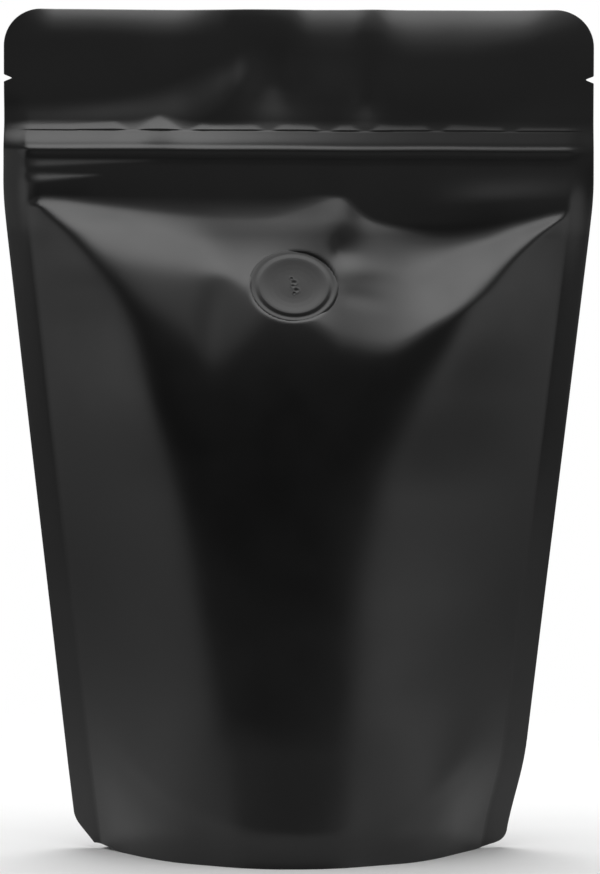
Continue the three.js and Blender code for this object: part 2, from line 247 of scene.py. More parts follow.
def arch_rise(z):
    """Rise of the film as an arch over the gap between the side seals."""
    gap = inner_edge(z, "right") + inner_edge(z, "left")
    return np.sqrt(np.maximum(0.0, ARCH_SHARE * (FILM_ACROSS**2 - gap**2)))


def flank(x, z, side, face):
    """A flank rises from the side seal, rounder at the foot, and reaches the face at the face's edge."""
    run = np.maximum(inner_edge(z, side) - smooth_curve(z, FACE_Z, face[side]), NARROWEST_FLANK)
    share = from_seal(x, z, side) / run
    bulge = FOOT_BULGE[side] * (1.0 - smoothstep(z, 0.0, FOOT_BULGE_Z))
    return share * arch_rise(z) + bulge * np.sin(pi * np.clip(share, 0.0, 1.0)) ** 2


def between_flanks(body, x, z, face):
    """A body that the two flanks cut."""
    for side in SIDES:
        power = smooth_curve(z, FLANK_RIDGE_Z, FLANK_RIDGE[side])
        body = soft_min(power, body, flank(x, z, side, face))
    return body


# Front shoulder

# Its upper line, how softly the film bends there, the angle at which it leaves, the angle that it turns to,
# and how far below the line it does so
SHOULDER_X = (-74.0, -69.0, -50.0, -30.0, -14.0, 3.0, 12.0, 24.0, 38.0, 50.0, 60.0, 74.0)
SHOULDER_TOP = (174.0, 176.4, 175.0, 173.6, 173.0, 172.6, 171.8, 169.0, 166.6, 168.0, 170.2, 173.0)
SHOULDER_BEND_WIDTH = (0.4, 0.4, 1.5, 2.8, 3.2, 1.8, 0.5, 0.6, 1.4, 1.1, 0.6, 0.4)
UPPER_ANGLE = (20.0, 20.0, 18.0, 18.0, 24.0, 25.0, 32.0, 28.0, 22.0, 19.0, 19.0, 20.0)
LOWER_ANGLE = (44.0, 44.0, 44.0, 43.5, 44.0, 39.5, 33.0, 35.5, 44.0, 47.5, 47.0, 46.0)
TURN_BELOW = (1.2, 1.2, 2.4, 4.8, 10.5, 10.5, 9.0, 7.0, 4.2, 2.6, 1.6, 1.2)
TURN_SOFTNESS = 0.8

# Right of the valve a pleat lifts the shoulder's line to a peak, and slants from there down to the valve
PLEAT_TOP = {"x": 11.5, "z": 176.0, "lift": 4.5}
PLEAT_FOOT = {"x": 8.0, "z": 163.0, "lift": 1.9}
PLEAT_END_Z = 153.0
PLEAT_REACH = {"left": 12.0, "right": 6.5}

# Left of the valve a crease parts off a lower facet, which a bank beside the valve lifts to the face again
CREASE_X = (-50.0, -29.0, -19.0, -12.0)
CREASE_Z = (157.5, 155.6, 155.1, 155.1)
FACET_ANGLE = (26.5, 25.0, 19.0, 16.0)
CREASE_SHARPNESS = (10.0, 13.0, 28.0, 40.0)
BANK_SLOPE = 0.27
BANK_TOP = {"x": -8.5, "z": 145.0}
BANK_FOOT = {"x": -20.0, "z": 131.0}
BANK_SHARPNESS = 14.0

# A shallow hollow between the pleat and the valve
HOLLOW = {"x": 11.3, "z": 162.0, "depth": 1.5, "left": 3.0, "right": 5.0, "high": 4.8}

# Small folds by the valve: start, end, height, and reach above and below the line
SMALL_FOLDS = (
    ((10.0, 156.8), (27.0, 156.2), 0.24, 2.6, 2.6),
    ((10.0, 150.6), (25.0, 147.5), -0.2, 2.6, 2.6),
)


def shoulder_top(x, z):
    """Height of the shoulder's upper line, with the pleat's lift at this height."""
    share = (z - PLEAT_FOOT["z"]) / (PLEAT_TOP["z"] - PLEAT_FOOT["z"])
    aside = x - mix(PLEAT_FOOT["x"], PLEAT_TOP["x"], share)
    lifts = (0.0, PLEAT_FOOT["lift"], PLEAT_TOP["lift"])
    lift = np.interp(z, (PLEAT_END_Z, PLEAT_FOOT["z"], PLEAT_TOP["z"]), lifts)
    reach = np.where(aside < 0, PLEAT_REACH["left"], PLEAT_REACH["right"])
    return smooth_curve(x, SHOULDER_X, SHOULDER_TOP) + lift * bell(aside / reach)


def upper_shoulder(x, z):
    below = shoulder_top(x, z) - z
    first = tangent(x, SHOULDER_X, UPPER_ANGLE)
    second = tangent(x, SHOULDER_X, LOWER_ANGLE)
    turn = smooth_curve(x, SHOULDER_X, TURN_BELOW)
    leaving = first * soft_ramp(below, smooth_curve(x, SHOULDER_X, SHOULDER_BEND_WIDTH))
    return leaving + (second - first) * soft_ramp(below - turn, TURN_SOFTNESS * turn)


def left_facet(x, z):
    """The flatter facet under the crease, and the bank that rises from it to the valve."""
    crease_z = smooth_curve(x, CREASE_X, CREASE_Z)
    facet = upper_shoulder(x, crease_z) + tangent(x, CREASE_X, FACET_ANGLE) * (crease_z - z)
    slant = (BANK_TOP["x"] - BANK_FOOT["x"]) / (BANK_TOP["z"] - BANK_FOOT["z"])
    bank_x = BANK_TOP["x"] + slant * (z - BANK_TOP["z"])
    bank = arch_rise(z) + BANK_SLOPE * (x - bank_x)
    return soft_max(BANK_SHARPNESS, facet, bank)


def front_shoulder(x, z):
    sharpness = smooth_curve(x, CREASE_X, CREASE_SHARPNESS)
    return soft_min(sharpness, upper_shoulder(x, z), left_facet(x, z))


def small_folds(x, z):
    aside = x - HOLLOW["x"]
    reach = np.where(aside < 0, HOLLOW["left"], HOLLOW["right"])
    hollow = HOLLOW["depth"] * bell(aside / reach) * bell((z - HOLLOW["z"]) / HOLLOW["high"])
    return sum(fold(x, z, *line) for line in SMALL_FOLDS) - hollow


# Back shoulder: its upper line rises towards the sides and dips left of the middle

BACK_TOP = {"z": 170.0, "rise": 5.0, "rise_power": 3}
BACK_DIP = {"x": -24.0, "depth": 3.0, "reach": 26.0}
BACK_ANGLE = radians(37)
BACK_BEND = 6.0


def back_shoulder(x, z):
    rise = BACK_TOP["rise"] * np.abs(x / (FILM_ACROSS / 2)) ** BACK_TOP["rise_power"]
    dip = BACK_DIP["depth"] * bell((x - BACK_DIP["x"]) / BACK_DIP["reach"])
    return tan(BACK_ANGLE) * soft_ramp(BACK_TOP["z"] + rise - dip - z, BACK_BEND)


# Bed of the valve

VALVE_X = -1.2
VALVE_Z = 152.2
VALVE_TILT = radians(35)
VALVE_TURN = radians(3.5)
VALVE_DEPTH = 13.2
VALVE_RADIUS = 12.0
BED_SHARPNESS = 60.0
BED_DEPTH = 0.9
BED_EDGE = (VALVE_RADIUS - 1.6, VALVE_RADIUS - 0.5)
FILM_LEAVES_VALVE = (10.4, 11.9)


def valve_bed(depth, x, z):
    """The film lies flat round the valve, and a little deeper under it."""
    radius = np.hypot(x - VALVE_X, (z - VALVE_Z) / cos(VALVE_TILT))
    plane = VALVE_DEPTH - (z - VALVE_Z) * tan(VALVE_TILT) - (x - VALVE_X) * tan(VALVE_TURN)
    plane = soft_min(BED_SHARPNESS, plane, arch_rise(z))
    plane = plane - BED_DEPTH * (1.0 - smoothstep(radius, *BED_EDGE))
    return mix(plane, depth, smoothstep(radius, *FILM_LEAVES_VALVE))


# Foot: the gusset's curved seal, the skirt under it, and the tuck of the face above it

SEAL_CURVE = {"lowest": 7.5, "rise": 20.0, "at": 50.0, "power": 2.2}
SEAL_STEP = {"depth": 0.45, "below": 3.5, "above": 2.5}
SKIRT_TUCK = {"depth": 1.0, "to_z": 9.0}
FACE_TUCK = {"depth": 2.0, "to_z": 38.0}

# Depths of the body over which this relief sets in on the flanks and on the face
ON_FLANK = (0.0, 26.0)
ON_FACE = (14.0, 38.0)


def bottom_seal(x, z, depth):
    """Relief at the foot: the film under the curved seal, the skirt and the face stand back a little."""
    seal_z = SEAL_CURVE["lowest"] + SEAL_CURVE["rise"] * np.abs(x / SEAL_CURVE["at"]) ** SEAL_CURVE["power"]
    under = 1.0 - smoothstep(z, seal_z - SEAL_STEP["below"], seal_z + SEAL_STEP["above"])
    skirt = 1.0 - smoothstep(z, 0.0, SKIRT_TUCK["to_z"])
    tuck = 1.0 - smoothstep(z, 0.0, FACE_TUCK["to_z"])
    on_flank = (SEAL_STEP["depth"] * under + SKIRT_TUCK["depth"] * skirt) * smoothstep(depth, *ON_FLANK)
    on_face = FACE_TUCK["depth"] * tuck * smoothstep(depth, *ON_FACE)
    return -on_flank - on_face


# Zip

ZIP_TOP = 194.6
ZIP_ENDS = {"left": (-2.5, 2.0), "right": (-4.5, 1.5)}
ZIP_WAVE = {"height": 0.1, "short": 9.0, "long": 23.0, "phase": 0.7}
ABOVE_ZIP = 0.1
ABOVE_ZIP_FADE = 204.0

# Height, and how far the film stands out there, from the zip's top edge down
ZIP_BAND = (
    (ZIP_TOP, ABOVE_ZIP), (194.3, 0.2), (191.2, 0.38), (190.6, 0.39),
    (190.3, 0.43), (189.4, 0.8), (189.1, 0.81),
)
BELOW_ZIP = ((188.8, 0.76), (188.0, 0.42), (186.8, 0.13), (185.2, 0.0))
ZIP_ROUND = 0.2
ZIP = profile([*ZIP_BAND, *BELOW_ZIP], ZIP_ROUND)

# Strips along the zip's top edge, the gaps between them, and how high they reach
CRIMP_GAP_X = (-45.0, -30.4, -8.2, 7.6, 18.2, 37.6, 57.6)
CRIMP_GAP = 1.0
CRIMP_X = (-80.0, -60.0, -50.0, -38.0, -24.0, -12.0, -2.0, 3.0, 13.0, 22.0, 30.0, 42.0, 50.0, 65.0, 80.0)
CRIMP_HEIGHT = (1.3, 1.7, 2.5, 4.8, 1.7, 1.7, 1.8, 1.7, 1.8, 1.9, 1.5, 2.0, 1.4, 1.1, 1.1)
CRIMP_LEAST = 0.001
CRIMP_END_SLOPE = 0.7

# A strip stands out in proportion to its height, up to a limit, and is undercut at its foot
CRIMP_FACE_SLOPE = 0.22
CRIMP_MOST_OUT = 0.6
CRIMP_CURVE = 1.25
CRIMP_FOOT = 0.25
CRIMP_UNDERCUT = 0.35

# Creases that taper to the right of the zip's left end: upper left corner, tip, height, steepest slope, and
# the length over which the film under them falls back
ZIP_CREASES = (
    ((-76.0, 187.0), (-36.0, 186.2), 3.4, 0.44, 18.0),
    ((-76.5, 183.3), (-52.0, 182.2), 4.4, 0.5, 20.0),
)
CREASE_LEAST = 0.01
CREASE_TIP = 0.15
CREASE_END = (-2.5, 4.0)

# A low fold under the zip's right end: start, end, height, and reach above and below the line
PANEL_FOLD = ((36.0, 174.0), (88.0, 177.0), 1.35, 5.0, 14.0)
FOLD_END = (-5.0, 1.0)


def crimps(x, z):
    """Strips pressed up along the zip's top edge, with gaps between them."""
    from_gap = np.minimum.reduce([np.abs(x - gap) for gap in CRIMP_GAP_X]) - CRIMP_GAP
    height = np.minimum(np.interp(x, CRIMP_X, CRIMP_HEIGHT), CRIMP_END_SLOPE * from_gap)
    height = np.maximum(height, CRIMP_LEAST)
    up = z - ZIP_TOP
    rise = np.minimum(CRIMP_FACE_SLOPE * height, CRIMP_MOST_OUT)
    undercut = mix(1.0 - CRIMP_UNDERCUT, 1.0, smoothstep(up, 0.0, CRIMP_FOOT))
    return rise * np.clip(1.0 - up / height, 0.0, 1.0) ** CRIMP_CURVE * undercut


def crease(x, z, corner, tip, height, slope, fall_length):
    """A crease whose upper side faces up and whose lower side falls back to the film. It ends in a tip."""
    share = np.clip((x - corner[0]) / (tip[0] - corner[0]), 0.0, 1.0)
    below = mix(corner[1], tip[1], share) - z
    height = height * (1.0 - share)
    rise = slope * height / SMOOTHSTEP_STEEPEST * smoothstep(below, 0.0, np.maximum(height, CREASE_LEAST))
    fall = 1.0 - smoothstep(below, height, height + fall_length)
    return rise * fall * smoothstep(1.0 - share, 0.0, CREASE_TIP)


def zip_relief(x, z):
    """The zip's band and strips, the creases under its left end and the fold under its right end."""
    wave = np.sin(x / ZIP_WAVE["short"]) * np.sin(x / ZIP_WAVE["long"] + ZIP_WAVE["phase"])
    line = z + ZIP_WAVE["height"] * wave
    above = ABOVE_ZIP * (1.0 - smoothstep(line, ZIP_TOP, ABOVE_ZIP_FADE)) + crimps(x, line)
    relief = np.where(line > ZIP_TOP, above, ZIP(line))
    from_left = from_seal(x, z, "left")
    from_right = from_seal(x, z, "right")
    zip_ends = smoothstep(from_left, *ZIP_ENDS["left"]) * smoothstep(from_right, *ZIP_ENDS["right"])
    creases = sum(crease(x, z, *shape) for shape in ZIP_CREASES)
    creases = creases * smoothstep(from_left, *CREASE_END)
    panel_fold = fold(x, z, *PANEL_FOLD) * smoothstep(from_right, *FOLD_END)
    return relief * zip_ends + creases + panel_fold


# Middle plane: how far both films stand behind y = 0

# They lean back from the shoulder up to the zip, and less above it
PANEL_LEAN = tan(radians(9))
PANEL_LEAN_FROM = 168.0
HEADER_LEAN = tan(radians(4.5))
HEADER_LEAN_FROM = 189.0
LEAN_BEND = 2.0

# The zip's band leans back further, most at its left end, and up to a peak under the highest strip
ZIP_LEAN_X = (-80.0, -45.0, 0.0, 40.0, 80.0)
ZIP_LEAN = (4.6, 4.5, 2.8, 1.6, 1.35)
ZIP_LEAN_Z = (188.5, 197.5)
ZIP_LEAN_PEAK = {"x": -37.7, "reach": 4.5, "lift": 1.7}

# The header steps back a little: how far, and from which height to which. A short step is steep enough to
# catch the light from above
STEP_X = (-80.0, -54.0, -40.0, -31.0, -21.0, -15.5, -8.0, 10.0, 50.0)
STEP_BACK = (1.3, 1.7, 2.3, 3.1, 3.0, 2.4, 2.2, 1.4, 0.0)
STEP_FROM = (195.0, 195.0, 195.0, 195.5, 200.5, 205.5, 203.0, 203.0, 203.0)
STEP_TO = (202.0, 203.5, 206.2, 209.7, 214.3, 217.0, 220.0, 220.0, 220.0)

# Two short steps above the zip that fade out upwards
PATCHES = (
    {"x": -6.8, "reach": 7.6, "back": 2.9, "from": 195.0, "to": 207.6},
    {"x": 18.5, "reach": 4.5, "back": 1.4, "from": 195.2, "to": 202.8},
)
PATCH_FADE = 20.0

# The header's top edge curls back: share of the steepest curl, and the curl's length
CURL_X = (
    -80.0, -72.0, -66.0, -36.0, -22.0, -12.0, -3.0, 4.0,
    14.0, 20.5, 26.0, 34.0, 60.0, 68.0, 75.0, 80.0,
)
CURL_SHARE = (0.0, 0.45, 0.88, 0.9, 0.5, 0.3, 0.42, 0.8, 0.8, 0.6, 0.9, 1.0, 1.0, 0.72, 0.5, 0.3)
CURL_STEEPEST = 0.72
CURL_LENGTH_X = (-80.0, -30.0, -15.0, 0.0, 14.0, 20.0, 31.0, 45.0, 80.0)
CURL_LENGTH = (9.0, 9.0, 7.0, 12.5, 12.5, 11.0, 14.5, 14.5, 10.0)

HEADER_WAVE_HEIGHT = 0.5
HEADER_WAVES = {"size": 34.0, "seed": 5}
HEADER_WAVES_Z = (ZIP_TOP, ZIP_TOP + 8.0)

# The side seals bend back, by the first value at the foot and by the second higher up
SEAL_BEND = {"left": (3.9, 3.05), "right": (3.3, 1.65)}
SEAL_BEND_Z = (60.0, 118.0)
SEAL_BEND_POWER = 1.05
SEAL_BEND_ENDS = {"left": (186.0, 206.0), "right": (168.0, 190.0)}


def lean(z):
    panel = PANEL_LEAN * soft_ramp(z - PANEL_LEAN_FROM, LEAN_BEND)
    return panel + (HEADER_LEAN - PANEL_LEAN) * soft_ramp(z - HEADER_LEAN_FROM, LEAN_BEND)


def zip_lean(x, z):
    low, high = ZIP_LEAN_Z
    high = high + ZIP_LEAN_PEAK["lift"] * bell((x - ZIP_LEAN_PEAK["x"]) / ZIP_LEAN_PEAK["reach"])
    return smooth_curve(x, ZIP_LEAN_X, ZIP_LEAN) * smoothstep(z, low, high)


def header_step(x, z):
    start = smooth_curve(x, STEP_X, STEP_FROM)
    end = smooth_curve(x, STEP_X, STEP_TO)
    step = smooth_curve(x, STEP_X, STEP_BACK) * smoothstep(z, start, end)
    for patch in PATCHES:
        rise = smoothstep(z, patch["from"], patch["to"])
        fall = smoothstep(z, patch["to"], patch["to"] + PATCH_FADE)
        step = step + patch["back"] * bell((x - patch["x"]) / patch["reach"]) * (rise - fall)
    return step


def curl(x, z):
    length = smooth_curve(x, CURL_LENGTH_X, CURL_LENGTH)
    into_curl = np.maximum(0.0, z - STANDING_HEIGHT + length)
    return CURL_STEEPEST * into_curl**2 / (2.0 * length) * smooth_curve(x, CURL_X, CURL_SHARE)


def seal_bend(x, z, side):
    onto_seal = -from_seal(x, z, side)
    bend = mix(*SEAL_BEND[side], smoothstep(z, *SEAL_BEND_Z))
    bend = bend * np.clip(onto_seal / SIDE_SEAL, 0.0, 1.0) ** SEAL_BEND_POWER
    return bend * (1.0 - smoothstep(z, *SEAL_BEND_ENDS[side]))


def middle_plane(x, z):
    waves = HEADER_WAVE_HEIGHT * smoothstep(z, *HEADER_WAVES_Z) * ripples(x, z, **HEADER_WAVES)
    seals = sum(seal_bend(x, z, side) for side in SIDES)
    return curl(x, z) + zip_lean(x, z) + lean(z) + header_step(x, z) + waves + seals


# Depth of the two films

HALF_FILM = 0.22
EDGE_ROUND = 0.25
ZIP_SHOWS_ON_BACK = 0.8

# The film ripples where the body has depth: not at the first depth, and fully from the second
RIPPLES_FROM = (2.0, 14.0)
FRONT_RIPPLE_HEIGHT = 0.12
FRONT_RIPPLES = {"size": 26.0, "seed": 3}
BACK_RIPPLE_HEIGHT = 0.2
BACK_RIPPLES = {"size": 30.0, "seed": 11}


def film_thickness(from_edge, z):
    short = 1.0 - np.clip(np.minimum(from_edge, STANDING_HEIGHT - z) / EDGE_ROUND, 0.0, 1.0)
    return HALF_FILM * np.sqrt(np.maximum(0.0, 1.0 - short * short))


def front_depth(x, z):
    body = soft_min(FRONT_RIDGE, arch_rise(z), front_shoulder(x, z))
    depth = between_flanks(body, x, z, FRONT_FACE)
    uneven = FRONT_RIPPLE_HEIGHT * smoothstep(depth, *RIPPLES_FROM) * ripples(x, z, **FRONT_RIPPLES)
    depth = valve_bed(depth + small_folds(x, z), x, z)
    return depth + bottom_seal(x, z, depth) + uneven + zip_relief(x, z)


def back_depth(x, z):
    body = soft_min(BACK_RIDGE, arch_rise(z), back_shoulder(x, z))
    depth = between_flanks(body, x, z, BACK_FACE)
    uneven = BACK_RIPPLE_HEIGHT * smoothstep(depth, *RIPPLES_FROM) * ripples(x, z, **BACK_RIPPLES)
    return depth + bottom_seal(x, z, depth) + uneven + ZIP_SHOWS_ON_BACK * zip_relief(-x, z)


# Mesh of the film

NARROWEST_SEAL = 0.6
EDGE_STEPS = (0.0, 0.04, 0.1, 0.18, EDGE_ROUND)
BODY_STARTS = (EDGE_ROUND, 1.0)
SEAL_COLUMNS = 8
FRONT_COLUMNS = 188
BACK_COLUMNS = 50

# Rows of points: from, to and how many, and then the round of the top corners
ROW_SPANS = (
    (0.0, 2.0, 8), (2.0, 12.0, 12), (12.0, 40.0, 16), (40.0, 124.0, 36), (124.0, 176.0, 92),
    (176.0, 187.0, 26), (187.0, 195.2, 52), (195.2, 200.0, 16), (200.0, 207.4, 8),
    (207.4, 210.2, 20), (210.2, 217.0, 14),
)
TOP_CORNER_ROWS = 28

# Points that agree to this many decimal places are joined
JOIN_DECIMALS = 4

# The bottom corners lift off the floor, and the header slants down to the right
CORNER_LIFT = 1.4
LIFT_FROM = 47.0
LIFT_OVER = 8.0
LIFT_FADE = 25.0
HEADER_SLANT = 0.0055
HEADER_SLANT_Z = (100.0, 185.0)

# Distance in from the skirt's foot, and the gusset film's height there
GUSSET = (
    (0.1, 0.0), (0.35, 0.0), (0.5, 0.3), (0.7, 2.2), (1.3, 4.6), (2.4, 5.6), (4.2, 5.0),
    (7.0, 2.8), (10.0, 1.2), (14.0, 0.5), (20.0, 0.3), (27.0, 0.3), (34.0, 0.4), (60.0, 0.9),
)

# Depths of the foot over which the groove behind the skirt opens
GUSSET_OPENS = (2.0, 16.0)


def row_heights():
    walls = [np.linspace(low, high, count, endpoint=False) for low, high, count in ROW_SPANS]
    corner = np.linspace(0.0, pi / 2, TOP_CORNER_ROWS)
    return np.concatenate([*walls, STANDING_HEIGHT - TOP_CORNER + TOP_CORNER * np.sin(corner)])


def seal_steps(z, side):
    """A side's cut edge, and steps in from there across its seal."""
    edge = outer_edge(z, side)
    seal = np.minimum(inner_edge(z, side), edge - NARROWEST_SEAL)
    share = np.linspace(0.0, 1.0, SEAL_COLUMNS, endpoint=False)[1:]
    return edge, seal, np.concatenate([EDGE_STEPS, mix(EDGE_ROUND, edge - seal, share)])


def across(z, columns):
    """Places across a row and each one's distance from the nearest cut edge."""
    left, left_seal, left_steps = seal_steps(z, "left")
    right, right_seal, right_steps = seal_steps(z, "right")
    panel = np.linspace(-left_seal, right_seal, columns)
    x = np.concatenate([-left + left_steps, panel, (right - right_steps)[::-1]])
    from_edge = np.minimum(x + left, right - x)
    return x, from_edge


def settle(x, z):
    """Height of a film point once the bottom corners lift and the header slants."""
    lift = CORNER_LIFT * smoothstep(np.abs(x), LIFT_FROM, LIFT_FROM + LIFT_OVER)
    slant = HEADER_SLANT * x * smoothstep(z, *HEADER_SLANT_Z)
    return z + lift * (1.0 - smoothstep(z, 0.0, LIFT_FADE)) - slant


def gusset(foot_row, fold_y):
    """The film under the pouch, from the fold along the middle out to the skirt's foot."""
    x, y, z = foot_row.T
    insets, inset_heights = zip((0.0, 0.0), *GUSSET)
    foot = np.abs(y - fold_y)
    opening = smoothstep(foot, *GUSSET_OPENS)
    rows = []
    for inset, _ in reversed(GUSSET):
        reached = np.minimum(inset, foot)
        share = np.where(foot > 0, reached / np.maximum(foot, TINY), 1.0)
        groove = opening * np.interp(reached, insets, inset_heights)
        lift = z * (1.0 - smoothstep(reached, 0.0, LIFT_OVER))
        rows.append(np.stack([x, mix(y, fold_y, share), groove + lift], axis=-1))
    return np.array(rows)


def wall(rows, columns, sign, depth_at):
    """One panel's points, row by row, from left to right: half of the gusset's film, then the panel."""
    grids = [across(z, columns) for z in rows]
    x = np.array([grid[0] for grid in grids])
    from_edge = np.array([grid[1] for grid in grids])
    z = np.repeat(rows[:, None], x.shape[1], axis=1)
    body = depth_at(x, z) * smoothstep(from_edge, *BODY_STARTS)
    middle = middle_plane(x, z)
    y = middle + sign * (film_thickness(from_edge, z) + body)
    points = np.stack([x, y, settle(x, z)], axis=-1)
    return np.concatenate([gusset(points[0], middle[0]), points])


def mesh_piece(name, points, faces):
    mesh = bpy.data.meshes.new(name)
    mesh.from_pydata(points.tolist(), [], faces)
    mesh.validate()
    mesh.shade_smooth()
    piece = bpy.data.objects.new(name, mesh)
    bpy.context.collection.objects.link(piece)
    return piece


def skin_piece(name, rows_of_points):
    """A mesh through a grid of points whose rows are closed loops. Points that coincide are joined."""
    rows, size = rows_of_points.shape[:2]
    points = rows_of_points.reshape(-1, 3)
    kept, index = np.unique(np.round(points, JOIN_DECIMALS), axis=0, return_inverse=True)
    index = index.reshape(rows, size)
    after = np.roll(index, -1, axis=1)
    quads = np.stack([index[:-1], after[:-1], after[1:], index[1:]], axis=-1).reshape(-1, 4)
    faces = []
    for quad in quads.tolist():
        corners = list(dict.fromkeys(quad))
        if len(corners) > 2:
            faces.append(corners)
    return mesh_piece(name, kept * MM, faces)


def make_film():
    rows = row_heights()
    front = wall(rows, FRONT_COLUMNS, -1.0, front_depth)
    back = wall(rows, BACK_COLUMNS, 1.0, back_depth)
    return skin_piece("pouch_film", np.concatenate([front, back[:, ::-1]], axis=1))


# Valve

# Distance from the middle, and height there
VALVE_PROFILE = profile(
    [
        (0.0, 0.0), (2.0, -0.05), (4.0, -0.06), (5.5, 0.0), (7.0, 0.16), (8.6, 0.42), (9.2, 0.46),
        (9.7, 0.3), (10.1, 0.15), (10.4, 0.14), (11.2, 0.36), (11.5, 0.33), (VALVE_RADIUS, 0.1),
    ],
    blur=0.16,
)
VALVE_RINGS = 96
VALVE_RING_POWER = 0.8
VALVE_SIDES = 180
VALVE_BACK = -0.6
VALVE_BACK_RADIUS = VALVE_RADIUS - 0.4

# The upper half of the dish and the ring is pressed less deep than the lower half
UPPER_RELIEF = {"dish": 0.45, "ring": 0.1}
RING_STARTS = (10.0, 10.6)
LOWER_HALF = (-0.7, 0.6)

# Pin holes in the dish: place to the right, place upwards, and radius. Each has a low rim
PIN_HOLES = ((-0.5, 2.6, 0.26), (0.15, 1.2, 0.5), (-0.1, 0.1, 0.34), (0.7, -1.3, 0.46), (0.1, -2.2, 0.28))
PIN_HOLE_DEPTH = 0.17
PIN_RIM = {"height": 0.05, "at": 1.7, "reach": 0.6}


def valve_relief(right, up):
    radius = np.hypot(right, up)
    lower_down = smoothstep(-up / VALVE_RADIUS, *LOWER_HALF)
    upper = mix(UPPER_RELIEF["dish"], UPPER_RELIEF["ring"], smoothstep(radius, *RING_STARTS))
    height = VALVE_PROFILE(radius) * mix(upper, 1.0, lower_down)
    for hole_right, hole_up, hole_radius in PIN_HOLES:
        away = np.hypot(right - hole_right, up - hole_up) / hole_radius
        rim = PIN_RIM["height"] * bell((away - PIN_RIM["at"]) / PIN_RIM["reach"])
        height = height - PIN_HOLE_DEPTH * bell(away) + rim
    return height


def make_valve():
    """The disc, lying in its own plane with +Z out of the film, then turned into the shoulder."""
    turn = np.linspace(0.0, 2 * pi, VALVE_SIDES, endpoint=False)
    radii = np.linspace(0.0, 1.0, VALVE_RINGS)[::-1] ** VALVE_RING_POWER * VALVE_RADIUS
    rings = []
    for radius in radii:
        right = radius * np.cos(turn)
        up = radius * np.sin(turn)
        rings.append(np.stack([right, up, valve_relief(right, up)], axis=-1))
    under = rings[0].copy()
    under[:, :2] *= VALVE_BACK_RADIUS / VALVE_RADIUS
    under[:, 2] = VALVE_BACK
    middle = under * (0.0, 0.0, 1.0)
    piece = skin_piece("valve_disc", np.array([middle, under, *rings]))
    outwards = Vector((tan(VALVE_TURN), -1.0, tan(VALVE_TILT))).normalized()
    rightwards = Vector((0.0, 0.0, 1.0)).cross(outwards).normalized()
    upwards = outwards.cross(rightwards)
    turned = Matrix((rightwards, upwards, outwards)).transposed().to_4x4()
    place = Vector((VALVE_X, -VALVE_DEPTH - HALF_FILM, VALVE_Z - HEADER_SLANT * VALVE_X)) * MM
    piece.data.transform(Matrix.Translation(place) @ turned)
    return piece


# Materials

# Most values of a noise lie in this range
NOISE_RANGE = (0.3, 0.7)
MARKS = {"scale": 45.0, "detail": 4.0, "darkest": 0.85, "lightest": 1.12, "blue": 0.01}
SMEARS = {"scale": 70.0, "detail": 5.0, "roughness": 0.025}
TOOTH = {"scale": 3200.0, "detail": 3.0, "strength": 0.12, "height": 0.00006}


def new_material(name):
    material = bpy.data.materials.new(name)
    material.use_nodes = True
    return material


def film_material(name, shade, rough, gloss):
    """Matte laminate: a near-black film with a fine even tooth and faint handling marks."""
    material = new_material(name)
    nodes = material.node_tree.nodes
    links = material.node_tree.links
    shader = nodes["Principled BSDF"]
    shader.inputs["Specular IOR Level"].default_value = gloss
    place = nodes.new("ShaderNodeTexCoord")

    def noise(kind):
        node = nodes.new("ShaderNodeTexNoise")
        node.inputs["Scale"].default_value = kind["scale"]
        node.inputs["Detail"].default_value = kind["detail"]
        links.new(place.outputs["Object"], node.inputs["Vector"])
        return node.outputs["Fac"]

    ramp = nodes.new("ShaderNodeValToRGB")
    shares = (MARKS["darkest"], MARKS["lightest"])
    for element, position, share in zip(ramp.color_ramp.elements, NOISE_RANGE, shares):
        element.position = position
        element.color = (shade * share, shade * share, shade * (share + MARKS["blue"]), 1.0)
    links.new(noise(MARKS), ramp.inputs["Fac"])
    links.new(ramp.outputs["Color"], shader.inputs["Base Color"])

    smears = nodes.new("ShaderNodeMapRange")
    smears.inputs["From Min"].default_value = NOISE_RANGE[0]
    smears.inputs["From Max"].default_value = NOISE_RANGE[1]
    smears.inputs["To Min"].default_value = rough - SMEARS["roughness"]
    smears.inputs["To Max"].default_value = rough + SMEARS["roughness"]
    links.new(noise(SMEARS), smears.inputs["Value"])
    links.new(smears.outputs["Result"], shader.inputs["Roughness"])

    tooth = nodes.new("ShaderNodeBump")
    tooth.inputs["Strength"].default_value = TOOTH["strength"]
    tooth.inputs["Distance"].default_value = TOOTH["height"]
    links.new(noise(TOOTH), tooth.inputs["Height"])
    links.new(tooth.outputs["Normal"], shader.inputs["Normal"])
    return material


# The object

film = make_film()
film.data.materials.append(film_material("black_film", shade=0.003, rough=0.385, gloss=0.5))
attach(film, "root")
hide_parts("pouch")

valve = make_valve()
valve.data.materials.append(film_material("black_film_on_valve", shade=0.0035, rough=0.4, gloss=0.38))
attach(valve, "root")
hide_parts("valve")


# Floor, in metres: a pale disc that fades out

FLOOR_SOLID = 0.08
FLOOR_REACH = 0.4
FLOOR_SHADES = (0.86, 0.89)
FLOOR_GRAIN = 30.0
FLOOR_ROUGHNESS = 0.8


